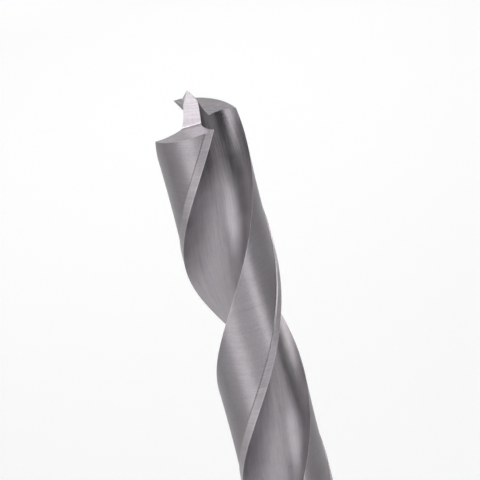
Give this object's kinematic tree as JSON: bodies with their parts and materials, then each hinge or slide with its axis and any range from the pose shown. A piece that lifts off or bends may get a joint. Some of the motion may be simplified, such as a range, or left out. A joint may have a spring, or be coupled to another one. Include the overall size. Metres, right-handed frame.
{
  "type": "brad point drill bit",
  "caption": "Twist drill bit ground from one round bar, with helical flutes, margins, a tall centre spear, outer spurs and a plain round shank.",
  "frame": {"origin": "centre of the flat end face of the shank, on the bit's axis", "axes": "+Z along the bit's axis from the shank to the point; the first lip's spur points 69.7 degrees clockwise of +X, seen from above"},
  "size_m": [0.01, 0.01, 0.133],
  "materials": {
    "ground_steel": "ground, satin along the flutes and lands, brighter on the point's ground faces"
  },
  "bodies": {
    "root": {"drill_bit": "ground_steel"}
  },
  "joints": []
}
